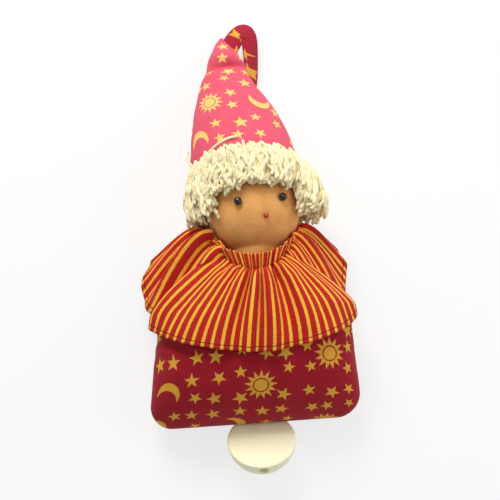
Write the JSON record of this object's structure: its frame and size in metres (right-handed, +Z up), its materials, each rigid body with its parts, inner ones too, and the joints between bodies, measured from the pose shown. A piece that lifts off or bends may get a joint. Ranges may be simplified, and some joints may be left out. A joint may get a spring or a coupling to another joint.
{
  "type": "music box doll",
  "caption": "Cloth doll lying on its back: stuffed pointed hat, yarn hair, ruffled striped collar, bag body, pull-string musical movement and half-ball wooden knob.",
  "frame": {"origin": "on the surface that the doll lies on, in the middle of the flat of its back", "axes": "+Z up, out of the doll's front; +Y towards the tip of the hat, -Y towards the pull knob; +X towards the doll's left hand side, the right of the picture"},
  "size_m": [0.1236, 0.2702, 0.064],
  "materials": {
    "printed_cotton": "woven cotton with a yellow print of stars, moons and suns",
    "striped_cotton": "woven cotton with narrow red and yellow stripes",
    "tricot": "smooth cotton knit, skin tone",
    "wool": "loose carded wool",
    "yarn": "natural cotton yarn",
    "bead_black": "glossy",
    "bead_red": "glossy",
    "maple": "sanded, waxed",
    "case_plastic": "moulded",
    "steel": "plain",
    "brass": "plain"
  },
  "bodies": {
    "doll": {"bag_front": "printed_cotton", "bag_back": "printed_cotton", "hat": "printed_cotton", "hanging_loop": "printed_cotton", "collar": "striped_cotton", "head_skin": "tricot", "body_wool": "wool", "head_wool": "wool", "hat_wool": "wool", "hair_right": "yarn", "hair_front": "yarn", "hair_left": "yarn", "neck_tie": "yarn", "pull_cord": "yarn", "eye_left": "bead_black", "eye_right": "bead_black", "nose": "bead_red", "case_base": "case_plastic", "case_lid": "case_plastic", "cord_eyelet": "brass", "comb_base": "brass", "bedplate": "steel", "top_bridge": "steel", "drum_shaft": "steel", "mainspring": "steel", "comb": "steel", "case_screw_1": "steel", "case_screw_2": "steel", "case_screw_3": "steel", "bridge_pillar_1": "brass", "bridge_pillar_2": "brass", "bridge_pillar_3": "brass", "bridge_screw_1": "steel", "bridge_screw_2": "steel", "bridge_screw_3": "steel", "bed_screw_1": "steel", "bed_screw_2": "steel", "bed_screw_3": "steel", "bed_screw_4": "steel", "comb_screw_1": "steel", "comb_screw_2": "steel"},
    "knob": {"pull_knob": "maple", "cord_knot": "yarn"},
    "drum": {"cord_drum": "case_plastic", "cord_winding": "yarn", "barrel_lid": "brass"},
    "cylinder": {"note_cylinder": "brass", "cylinder_pinion": "brass", "cylinder_wheel": "case_plastic", "cylinder_shaft": "steel"},
    "governor": {"governor_pinion": "case_plastic", "governor_shaft": "steel", "governor_fan": "case_plastic"}
  },
  "joints": [
    {"name": "knob_pull", "type": "slide", "parent": "doll", "child": "knob", "axis": [0, -1, 0], "range_m": [0, 0.16], "stiffness_N_per_m": 15, "springref_m": -0.15, "deforming": ["pull_cord"]},
    {"name": "drum_turn", "type": "hinge", "parent": "doll", "child": "drum", "pos_m": [-0.0092, 0.017, 0.0127], "axis": [0, 0, 1], "range_deg": [-998.4, 0], "deforming": ["mainspring"]},
    {"name": "cylinder_turn", "type": "hinge", "parent": "doll", "child": "cylinder", "pos_m": [0.00734, 0.01992, 0.0127], "axis": [0, 0, 1], "range_deg": [0, 1994.9]},
    {"name": "governor_turn", "type": "hinge", "parent": "doll", "child": "governor", "pos_m": [0.01783, 0.01257, 0.0296], "axis": [0, 0, 1], "range_deg": [-5980.7, 0]}
  ],
  "couplings": [
    {"joint": "drum_turn", "follows": "knob_pull", "rad_per_m": -108.7},
    {"joint": "cylinder_turn", "follows": "knob_pull", "rad_per_m": 217.39},
    {"joint": "governor_turn", "follows": "knob_pull", "rad_per_m": -652.17}
  ]
}
